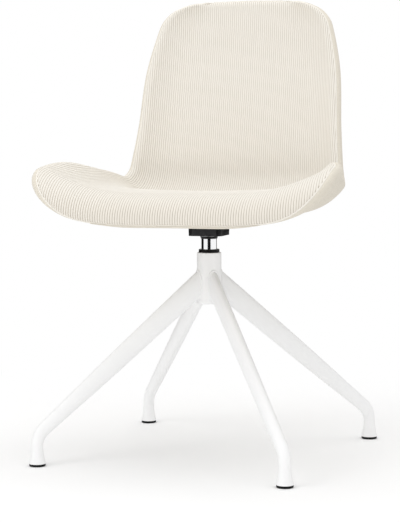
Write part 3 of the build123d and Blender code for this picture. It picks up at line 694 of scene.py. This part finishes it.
def puff_field():
    """How the padded front swells between its sewn edges, by a cloth simulation of
    its foam under a slight pressure. The result is a grid of heights over the
    front, by distance along it and by share of its width."""
    s = np.linspace(FOAM_FROM, FOAM_TO, FOAM_ROWS)
    share = np.linspace(-1, 1, FOAM_COLUMNS)
    part = Section(s)
    front = part.skin(share[None, :] * part.edge())
    normal = grid_normals(front, up=True)
    row = np.arange(FOAM_ROWS)
    depth = FOAM_DEPTH * np.outer(
        np.minimum(1, np.minimum(row, row[::-1]) / FOAM_END_ROWS),
        np.minimum(1, (1 - np.abs(share)) * FOAM_TAPER),
    )
    foam = foam_body(front, front - normal * depth[..., None])
    cloth = foam.modifiers.new("cloth", "CLOTH")
    for key, value in FOAM_CLOTH.items():
        setattr(cloth.settings, key, value)
    cloth.settings.effector_weights.gravity = 0
    cloth.collision_settings.use_collision = False
    cloth.point_cache.frame_start, cloth.point_cache.frame_end = 1, FOAM_STEPS
    for frame_number in range(1, FOAM_STEPS + 1):
        scene.frame_set(frame_number)
    shown = foam.evaluated_get(bpy.context.evaluated_depsgraph_get()).to_mesh()
    moved = np.zeros(len(shown.vertices) * 3)
    shown.vertices.foreach_get("co", moved)
    moved = moved[:front.size].reshape(front.shape)
    rise = ((moved - front) * normal).sum(-1)
    mesh = foam.data
    bpy.data.objects.remove(foam)
    bpy.data.meshes.remove(mesh)
    scene.frame_set(1)
    return s, share, rise


def soften(field, times):
    for _ in range(times):
        wide = np.pad(field, 1, mode="edge")
        field = (
            wide[:-2, 1:-1] + wide[2:, 1:-1] + wide[1:-1, :-2] + wide[1:-1, 2:]
            + 4 * wide[1:-1, 1:-1]
        ) / 8
    return field


puff = None
puff_s, puff_share, rise = puff_field()
rise = soften(rise, 2)
most_rise = max(np.percentile(np.abs(rise), 98), 1e-6)
puff = np.clip(rise / most_rise, -1, 1) * PUFF_CAP


def puff_at(s, share):
    """The foam's rise at places on the front cover."""
    if puff is None:
        from_end = np.minimum(1, np.minimum(s - PAD_START, PAD_END - s) / PUFF_END)
        return (1 - share**2) * from_end * PUFF_CAP * PUFF_PLAIN
    last_s, last_share = len(puff_s) - 1.001, len(puff_share) - 1.001
    i = np.clip(np.interp(s, puff_s, np.arange(len(puff_s))), 0, last_s)
    j = np.clip(np.interp(share, puff_share, np.arange(len(puff_share))), 0, last_share)
    i0, j0 = i.astype(int), j.astype(int)
    u, v = i - i0, j - j0
    return (
        puff[i0, j0] * (1 - u) * (1 - v) + puff[i0 + 1, j0] * u * (1 - v)
        + puff[i0, j0 + 1] * (1 - u) * v + puff[i0 + 1, j0 + 1] * u * v
    )


# ---------------------------------------------------------------- covers
TUCK = 1.5 * MM  # how deep the covers turn in at the seam
TUCK_REACH = 3.2  # and how far from it
END_STRETCH = 1.3  # the skin's length to the distance along the line, at the ends
# what settle takes off or adds: where its middle is, how wide and how much
CREST_X, CREST_WIDTH, CREST_RISE = 84.0, 12.0, 2.6
CROWN_WIDTH, CROWN_RISE = 90.0, 2.6
TOP_FROM, TOP_FADE = 800.0, 25.0  # both only above this height
CORNER_X, CORNER_WIDTH, CORNER_RISE = 150.0, 38.0, 3.0
CORNER_LOW, CORNER_FADE = 420.0, 45.0  # only below this height
CORNER_FRONT, CORNER_DEPTH = -130.0, 40.0  # and only ahead of this place
SHOULDER_Z, SHOULDER_WIDTH, SHOULDER_RISE = 814.0, 11.0, 2.6
SHOULDER_X, SHOULDER_FADE = 95.0, 35.0  # only outside this half width


def tuck(gap):
    """How far the cover dips at a distance from the seam, in metres."""
    return -TUCK * np.exp(-((gap / TUCK_REACH) ** 2))


def hill(distance, width):
    return np.exp(-((distance / width) ** 2))


def settle(points):
    """Takes the small rise out of the top edge where its corners begin, crowns its
    middle, fills its corners, and rounds the ends of the front's bottom edge."""
    x, y, z = (np.moveaxis(points, -1, 0) / MM)
    x = np.abs(x)
    rise = -CREST_RISE * hill(x - CREST_X, CREST_WIDTH)
    rise += CROWN_RISE * (1 - np.minimum(x / CROWN_WIDTH, 1) ** 2) ** 2
    rise *= ease((z - TOP_FROM) / TOP_FADE)
    corner = CORNER_RISE * hill(x - CORNER_X, CORNER_WIDTH)
    corner *= 1 - ease((z - CORNER_LOW) / CORNER_FADE)
    rise += corner * ease((CORNER_FRONT - y) / CORNER_DEPTH)
    full = SHOULDER_RISE * hill(z - SHOULDER_Z, SHOULDER_WIDTH)
    full *= ease((x - SHOULDER_X) / SHOULDER_FADE)
    out = points.copy()
    out[..., 0] += full * np.sign(points[..., 0]) * MM
    out[..., 2] += rise * MM
    return out


# ---------------------------------------------------------------- front cover
RIB_HEIGHT = 1.0 * MM
RIB_STEPS = 4  # columns to a rib
RIB_ROUND = 2.2  # a higher power gives a flatter rib and a narrower valley
SEAM_RIB = 0.35  # share of the rib's height at the seam
SEAM_RIB_REACH = 5.0  # distance from the seam at which it is full
LEAST_STRIP = 0.35  # of a column's width, left at the seam
MOST_SLOPE = 4.0  # of the edge, when the distance from it is worked out
FRONT_ROWS = (6.2, radians(9), 5.0)  # most length, turn and change of edge in a row
BACK_COLUMNS = 19
BACK_INSET = 1.0  # of the closed back from the seam
BACK_HOLLOW = 10.5  # how far it lies under the front skin
BACK_HOLLOW_END, BACK_SLOPE = 2.0, 0.8  # the same at the ends, and its growth there
BACK_ROUND = 8  # a higher power gives a flatter back
SEAM_SKIP = 8  # columns from one point of the seam's line to the next


class Net:
    """A mesh whose vertices have keys."""

    def __init__(self):
        self.verts, self.rib, self.cloth = [], [], []
        self.index, self.faces = {}, []

    def put(self, key, point, place, rib=0.0):
        self.index[key] = len(self.verts)
        self.verts.append(point)
        self.cloth.append((place[0] * MM, place[1] * MM, 0))
        self.rib.append(rib)

    def zip_up(self, first, second):
        """Triangles between two runs of (distance, vertex)."""
        a = b = 0
        while a < len(first) - 1 or b < len(second) - 1:
            take_a = b == len(second) - 1 or (
                a < len(first) - 1 and first[a + 1][0] <= second[b + 1][0]
            )
            if take_a:
                corner = first[a + 1][1]
            else:
                corner = second[b + 1][1]
            face = (first[a][1], corner, second[b][1])
            if len(set(face)) == len(face):
                self.faces.append(face)
            a, b = (a + 1, b) if take_a else (a, b + 1)


def seam_gap(rows, edge, q):
    """Distance from the seam, at the sides or at the ends."""
    slope = np.abs(np.gradient(edge, rows))[:, None]
    side = (edge[:, None] - np.abs(q)) / np.sqrt(1 + np.minimum(slope, MOST_SLOPE) ** 2)
    end = np.minimum(rows - PAD_START, PAD_END - rows)[:, None]
    end = end * np.where(end < THICK, END_STRETCH, 1.0)
    return np.minimum(side, end)


def join_front(net, edge, counts, q):
    """The front's faces: quads along the ribs, and triangles up to the seam."""
    middle = q.shape[1] // 2
    for i in range(len(edge) - 1):
        both = min(counts[i], counts[i + 1])
        for j in range(-both, both):
            corners = ((i, j), (i, j + 1), (i + 1, j + 1), (i + 1, j))
            net.faces.append([net.index[corner] for corner in corners])
        for side, label in ((1, "R"), (-1, "L")):
            runs = []
            for r in (i, i + 1):
                run = [(abs(q[r, side * j + middle]), net.index[r, side * j])
                       for j in range(both, counts[r] + 1)]
                runs.append(run + [(edge[r] + 1e-6, net.index[r, label])])
            net.zip_up(*runs[::side])


def close_back(net, part, edge, counts, q):
    """The cover's back, over the moulded core."""
    rows, middle = part.s[:, 0], q.shape[1] // 2
    share = np.linspace(-1, 1, BACK_COLUMNS)[1:-1]
    across = share[None, :] * (edge[:, None] - BACK_INSET)
    end = np.minimum(rows - PAD_START, PAD_END - rows)
    hollow = np.minimum(BACK_HOLLOW, BACK_HOLLOW_END + end * BACK_SLOPE)
    inside = part.skin(across, 1, -hollow[:, None] * (1 - share[None, :] ** BACK_ROUND))
    lines = []
    for i, s in enumerate(rows):
        for j in range(len(share)):
            net.put((i, "in", j), inside[i, j], (across[i, j], s))
        line = [net.index[i, "in", j] for j in range(len(share))]
        lines.append([net.index[i, "L"]] + line + [net.index[i, "R"]])
    net.faces += quads(np.array(lines).T)
    for i in (0, len(rows) - 1):
        left, right = (-edge[i], net.index[i, "L"]), (edge[i], net.index[i, "R"])
        outer = [(q[i, j + middle], net.index[i, j]) for j in range(-counts[i], counts[i] + 1)]
        within = [(across[i, j], net.index[i, "in", j]) for j in range(len(share))]
        runs = [[left] + run + [right] for run in (within, outer)]
        net.zip_up(*(runs if i == 0 else runs[::-1]))


def front_cover():
    """The ribbed front cover. Its columns follow the ribs, and the last strip on
    each side runs out to the seam, whose points it returns."""
    rows = build_rows(*FRONT_ROWS)
    part = Section(rows)
    edge = part.edge()[:, 0]
    step = smooth(PITCHES, part.s)[:, 0] / RIB_STEPS
    counts = np.floor((edge - LEAST_STRIP * step) / step).astype(int)
    most = counts.max()
    column = np.arange(-most, most + 1)
    q = np.clip(column[None, :] * step[:, None], -edge[:, None], edge[:, None])
    share = q / edge[:, None]

    gap = seam_gap(rows, edge, q)
    wave = np.abs(((column[None, :] / RIB_STEPS) % 1.0) * 2 - 1)
    rib = np.repeat(1 - wave ** RIB_ROUND, len(rows), axis=0)
    height = SEAM_RIB + (1 - SEAM_RIB) * ease(gap / SEAM_RIB_REACH)
    lift = rib * RIB_HEIGHT * height + tuck(gap)
    lift += puff_at(np.broadcast_to(part.s, q.shape), share)
    look = front_normals(part, edge)
    normal = look(share)
    points = settle(part.skin(q) + normal * lift[..., None])
    ends = part.skin(np.stack([-edge, edge], 1))
    ends = settle(ends + look(np.tile([-1.0, 1.0], (len(rows), 1))) * tuck(0.0))

    net = Net()
    for i, s in enumerate(rows):
        for j in range(-counts[i], counts[i] + 1):
            net.put((i, j), points[i, j + most], (q[i, j + most], s), rib[i, j + most])
        net.put((i, "L"), ends[i, 0], (-edge[i], s), SEAM_SHADE)
        net.put((i, "R"), ends[i, 1], (edge[i], s), SEAM_SHADE)
    join_front(net, edge, counts, q)
    close_back(net, part, edge, counts, q)
    piece = finish_mesh("front_cover", net.verts, net.faces, "seat", RIBBED)
    set_attribute(piece, "rib", net.rib, "FLOAT")
    set_attribute(piece, "cloth", net.cloth, "FLOAT_VECTOR")
    turn_out(piece)
    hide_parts("seat_pad")

    feet = points - normal * (rib * RIB_HEIGHT * SEAM_RIB)[..., None]
    bottom, top = counts[0] - SEAM_SKIP, counts[-1] - SEAM_SKIP
    return np.concatenate([
        ends[::-1, 0], feet[0, most - bottom:most + bottom + 1:SEAM_SKIP],
        ends[:, 1], feet[-1, most + top:most - top - 1:-SEAM_SKIP],
    ])


seam_line = front_cover()

# ---------------------------------------------------------------- outer cover
REAR_ROWS = (7.0, radians(10), 9.0)
REAR_COLUMNS, RIM_COLUMNS = 33, 12  # on each side: on the skin, and round the rim
TIP_ROWS = 9  # in the quarter circle at an end
LEAST_TIP = 0.3  # from the last of them to the front cover's end, at the bottom
LEAST_TOP_TIP = 0.1  # and at the top
REAR_CLOTH = 1.0 * MM
REAR_JOIN = 0.12 * MM  # vertices closer than this are made one
STRIP_OFFSET = 0.3 * MM  # of the strips' weave from the grid's


def rear_rows():
    """Distances of the outer cover's rows, which go on round both ends of the
    shell, and the numbers of those where the front cover starts and ends."""
    tips = [THICK * (1 - cos(k * pi / 2 / TIP_ROWS)) for k in range(TIP_ROWS + 1)]
    before = [t for t in tips if t < PAD_START - LEAST_TIP]
    after = sorted(LENGTH - t for t in tips if LENGTH - t > PAD_END + LEAST_TOP_TIP)
    middle = build_rows(*REAR_ROWS)
    first = len(before)
    return np.array(before + list(middle) + after), first, first + len(middle) - 1


def rear_cover():
    rows, first, last = rear_rows()
    part = Section(rows)
    flat = part.flat(-1)
    face = np.linspace(0, 1, REAR_COLUMNS + 1)[1:]
    rim = np.linspace(0, 1, RIM_COLUMNS + 1)[1:]
    seam = np.where((part.s < PAD_START) | (part.s > PAD_END), 0.0, part.seam)
    q = np.concatenate([face * flat, flat + rim * part.half * (pi - seam)], 1)
    q = np.concatenate([-q[:, ::-1], np.zeros((len(rows), 1)), q], 1)
    base = part.skin(q, -1)
    beyond = np.maximum(np.maximum(PAD_START - part.s, part.s - PAD_END), 0)
    gap = np.maximum(part.edge(-1) - np.abs(q), 0)
    lift = tuck(np.hypot(gap, beyond * END_STRETCH))
    grid = settle(base + grid_normals(base, up=False) * lift[..., None])
    numbers = numbered(*q.shape)
    verts = list(grid.reshape(-1, 3))
    cloth = [(q[i, j] * MM, s * MM, 0) for i, s in enumerate(rows) for j in range(q.shape[1])]
    faces = quads(numbers.T)

    # strips between the front seam and the rounded ends, which share the grid's sides
    share = np.concatenate([-face[::-1], [0], face])
    for low, high, start in ((0, first, PAD_START), (last, len(rows) - 1, PAD_END)):
        strip = Section(rows[low:high + 1])
        across = share[None, :] * strip.flat()
        up = front_normals(strip, strip.flat()[:, 0])(np.repeat(share[None, :], len(strip.s), 0))
        dip = tuck(np.abs(strip.s - start) * END_STRETCH)
        points = settle(strip.skin(across) + up * dip[..., None])
        inner = numbered(*across.shape, len(verts))
        inner[:, [0, -1]] = numbers[low:high + 1, [0, -1]]
        faces += quads(inner)
        verts += list(points.reshape(-1, 3))
        cloth += [(across[i, j] * MM, s * MM + STRIP_OFFSET, 0)
                  for i, s in enumerate(strip.s[:, 0]) for j in range(len(share))]
    piece = finish_mesh("outer_cover", verts, faces, "seat", PLAIN)
    set_attribute(piece, "cloth", cloth, "FLOAT_VECTOR")
    turn_out(piece, REAR_JOIN)
    thick = piece.modifiers.new("cloth_and_wadding", "SOLIDIFY")
    thick.thickness = REAR_CLOTH
    thick.offset = -1.0
    thick.use_even_offset = False
    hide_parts("rear_cover")


rear_cover()

# ---------------------------------------------------------------- moulded core
CORE_FRONT, CORE_BACK = 1.0, -7.0  # its faces, from the middle of the shell
CORE_END, CORE_SHARE = 17.0, 0.965  # it ends short of the covers' ends and sides
CORE_ROWS, CORE_COLUMNS = 72, 41


def moulded_core():
    """The moulded shell inside, which follows the covers."""
    part = Section(np.linspace(CORE_END, LENGTH - CORE_END, CORE_ROWS))
    share = np.linspace(-1, 1, CORE_COLUMNS) * CORE_SHARE
    sheets = []
    for side, face in ((1, CORE_FRONT), (-1, CORE_BACK)):
        sheets.append(settle(part.skin(share * part.flat(side), side, side * face - THICK)))
    numbers = numbered(CORE_ROWS, CORE_COLUMNS)
    faces = quads(numbers) + [quad[::-1] for quad in quads(numbers + numbers.size)]
    for border in (numbers[:, 0], numbers[:, -1], numbers[0], numbers[-1]):
        faces += quads(np.stack([border, border + numbers.size]))
    verts = np.concatenate([sheet.reshape(-1, 3) for sheet in sheets])
    piece = finish_mesh("moulded_core", verts, faces, "seat", CORE)
    turn_out(piece)
    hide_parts("shell_core")


moulded_core()


# ---------------------------------------------------------------- seam welt
def resample(points, pitch):
    """Even points on a closed line."""
    loop = np.concatenate([points, points[:1]])
    step = np.linalg.norm(np.diff(loop, axis=0), axis=1)
    loop = loop[np.concatenate([[True], step > 1e-6])]
    run = np.concatenate([[0], np.cumsum(np.linalg.norm(np.diff(loop, axis=0), axis=1))])
    at = np.linspace(0, run[-1], int(run[-1] / pitch) + 1)[:-1]
    return np.stack([np.interp(at, run, loop[:, k]) for k in range(3)], 1)


def even_out(line, times):
    for _ in range(times):
        line = (np.roll(line, 1, 0) + 2 * line + np.roll(line, -1, 0)) / 4
    return line


def sweep_closed(name, line, radius, sides, material, body="seat"):
    """A round ridge along a closed line."""
    tangent = np.roll(line, -1, 0) - np.roll(line, 1, 0)
    tangent /= np.linalg.norm(tangent, axis=1, keepdims=True)
    normal = np.zeros_like(line)
    n = np.cross(tangent[0], [0, 0, 1.0])
    if np.linalg.norm(n) < 0.1:
        n = np.cross(tangent[0], [1.0, 0, 0])
    for i in range(len(line)):
        n = n - tangent[i] * (n @ tangent[i])
        n /= np.linalg.norm(n)
        normal[i] = n
    binormal = np.cross(tangent, normal)
    angle = np.linspace(0, 2 * pi, sides, endpoint=False)[None, :, None]
    ring = line[:, None, :] + radius * (
        np.cos(angle) * normal[:, None, :] + np.sin(angle) * binormal[:, None, :]
    )
    run = np.cumsum(np.linalg.norm(line - np.roll(line, 1, 0), axis=1))
    cloth = [(a * radius, s, 0) for s in run for a in angle.ravel()]
    faces = quads(np.pad(numbered(len(line), sides), ((0, 1), (0, 1)), mode="wrap"))
    piece = finish_mesh(name, ring.reshape(-1, 3), faces, body, material)
    set_attribute(piece, "cloth", cloth, "FLOAT_VECTOR")
    turn_out(piece)


WELT_RADIUS, WELT_PITCH, WELT_SIDES = 1.5 * MM, 3.0 * MM, 8
seam_even = even_out(resample(seam_line, WELT_PITCH), 4)
sweep_closed("seam_welt", seam_even, WELT_RADIUS, WELT_SIDES, WELT)

# ---------------------------------------------------------------- weld beads
# the base's own sizes, in millimetres and degrees
HUB_RADIUS, LEG_HUB_Z, LEG_KNEE_Z, FOOT_SPACING = 22.0, 305.5, 53.4, 460.0
LEG_WIDTH, LEG_ROOT_DEPTH, BASE_TURN = 21.0, 39.5, -6.2
BEAD_RADIUS, BEAD_OUT = 1.9, 0.3  # its middle lies this far outside both tubes
BEAD_STEPS, BEAD_SIDES = 72, 10


def weld_bead(name, angle):
    """The ground weld where a leg's oval meets the hub."""
    slope = np.arctan2(LEG_HUB_Z - LEG_KNEE_Z, FOOT_SPACING / sqrt(2) - HUB_RADIUS)
    t = np.linspace(0, 2 * pi, BEAD_STEPS, endpoint=False)
    across = (LEG_WIDTH / 2 + BEAD_OUT) * np.cos(t)
    deep = (LEG_ROOT_DEPTH / 2 + BEAD_OUT) * np.sin(t)
    out = np.sqrt((HUB_RADIUS + BEAD_OUT) ** 2 - across**2)
    run = (out - HUB_RADIUS - deep * sin(slope)) / cos(slope)
    up = LEG_HUB_Z - run * sin(slope) + deep * cos(slope)
    a = radians(angle + BASE_TURN)
    line = np.stack([out * cos(a) - across * sin(a), out * sin(a) + across * cos(a), up], 1)
    sweep_closed(name, line * MM, BEAD_RADIUS * MM, BEAD_SIDES, WHITE, "base")


for k, corner in enumerate(("rear_left", "rear_right", "front_right", "front_left")):
    weld_bead("weld_bead_" + corner, 45 + 90 * k)

# ---------------------------------------------------------------- stage
FLOOR_RADIUS, FLOOR_SIDES = 9.0, 96
FLOOR_GLOW = 0.04
FLOOR_FADE = (0.36, 1.10)  # the floor turns to plain white between these reaches
WORLD_LIGHT = 0.76
CARD_DISTANCE, CARD_HEIGHT = 1.6, 1.1


def looked_at(tree):
    """1 for rays that come from the camera, a reflection or a clear piece."""
    path = tree.nodes.new("ShaderNodeLightPath").outputs
    other = calc(tree, "MAXIMUM", path["Is Glossy Ray"], path["Is Transmission Ray"])
    return calc(tree, "MAXIMUM", path["Is Camera Ray"], other)


def build_floor():
    bm = bmesh.new()
    bmesh.ops.create_circle(bm, cap_ends=True, radius=FLOOR_RADIUS, segments=FLOOR_SIDES)
    mesh = bpy.data.meshes.new("floor")
    bm.to_mesh(mesh)
    bm.free()
    floor = bpy.data.objects.new("floor", mesh)
    scene.collection.objects.link(floor)
    mat, tree, bsdf = new_material("studio_floor")
    place = place_of(tree)
    grain = noise_at(tree, place, 3.0, 2.0)
    colour = mix_colour(tree, grain, rgb(0.93, 0.93, 0.93), rgb(0.94, 0.94, 0.94))
    link(tree, colour, bsdf, "Base Color")
    set_inputs(bsdf, Roughness=0.9, Specular_IOR_Level=0.1, Emission_Color=rgb(1, 1, 1))
    seen = looked_at(tree)
    link(tree, calc(tree, "MULTIPLY", seen, FLOOR_GLOW), bsdf, "Emission Strength")
    flat = stretch(tree, place, 1.0, 1.0, 0.0)
    reach = add_node(tree, "ShaderNodeVectorMath", {0: flat}, operation="LENGTH").outputs[1]
    far = calc(tree, "MULTIPLY", seen, spread(tree, reach, *FLOOR_FADE))
    white = add_node(tree, "ShaderNodeEmission", {0: rgb(1, 1, 1), 1: 1.0}).outputs[0]
    both = add_node(tree, "ShaderNodeMixShader", {0: far, 1: bsdf.outputs[0], 2: white})
    out = next(n for n in tree.nodes if n.type == "OUTPUT_MATERIAL")
    link(tree, both.outputs[0], out, "Surface")
    mesh.materials.append(mat)


def build_world():
    """Plain white to the eye, and a softer light on the scene."""
    world = bpy.data.worlds.new("studio")
    scene.world = world
    world.use_nodes = True
    tree = world.node_tree
    tree.nodes.clear()
    out = tree.nodes.new("ShaderNodeOutputWorld")
    extra = calc(tree, "MULTIPLY", looked_at(tree), 1.0 - WORLD_LIGHT)
    strength = calc(tree, "ADD", WORLD_LIGHT, extra)
    back = add_node(tree, "ShaderNodeBackground", {0: rgb(1, 1, 1), 1: strength})
    link(tree, back.outputs[0], out, "Surface")


def area_light(name, place, size, power, aim=(0, 0, 0.45)):
    data = bpy.data.lights.new(name, "AREA")
    data.shape = "RECTANGLE"
    data.size, data.size_y = size
    data.energy = power
    lamp = bpy.data.objects.new(name, data)
    scene.collection.objects.link(lamp)
    lamp.location = place
    lamp.rotation_euler = (Vector(aim) - Vector(place)).to_track_quat("-Z", "Y").to_euler()
    lamp.visible_glossy = False


def dark_card(name, azimuth, width):
    """A dark card that only polished metal sees."""
    bm = bmesh.new()
    bmesh.ops.create_grid(bm, x_segments=4, y_segments=4, size=0.5)
    bmesh.ops.scale(bm, vec=(width, CARD_HEIGHT, 1), verts=bm.verts)
    mesh = bpy.data.meshes.new(name)
    bm.to_mesh(mesh)
    bm.free()
    card = bpy.data.objects.new(name, mesh)
    scene.collection.objects.link(card)
    away = Vector((cos(azimuth), sin(azimuth), 0)) * CARD_DISTANCE
    card.location = away + Vector((0, 0, CARD_HEIGHT / 2))
    card.rotation_euler = (pi / 2, 0, azimuth + pi / 2)
    card.visible_camera = False
    card.visible_diffuse = False
    card.visible_shadow = False
    card.visible_transmission = False
    mat, tree, bsdf = new_material(name + "_black")
    set_inputs(bsdf, Base_Color=rgb(0.01, 0.01, 0.01), Roughness=1.0, Specular_IOR_Level=0.0)
    mesh.materials.append(mat)


build_floor()
build_world()
area_light("key", (-1.7, -2.1, 2.3), (1.8, 1.8), 16.5)
area_light("top", (0.2, 0.1, 3.0), (2.4, 2.4), 24, (0, 0, 0.4))
area_light("front", (0.5, -2.4, 0.17), (2.0, 0.26), 7.5, (0, 0, 0.28))
area_light("rear", (-0.6, 2.8, 1.3), (1.8, 1.8), 3, (0, 0, 0.5))
CAMERA_SIDE = -pi / 2 + AZIMUTH
dark_card("card_front", CAMERA_SIDE, 1.35)
dark_card("card_left", CAMERA_SIDE - radians(125), 2.5)
dark_card("card_right", CAMERA_SIDE + radians(150), 1.0)

view = scene.view_settings
view.view_transform = "Standard"
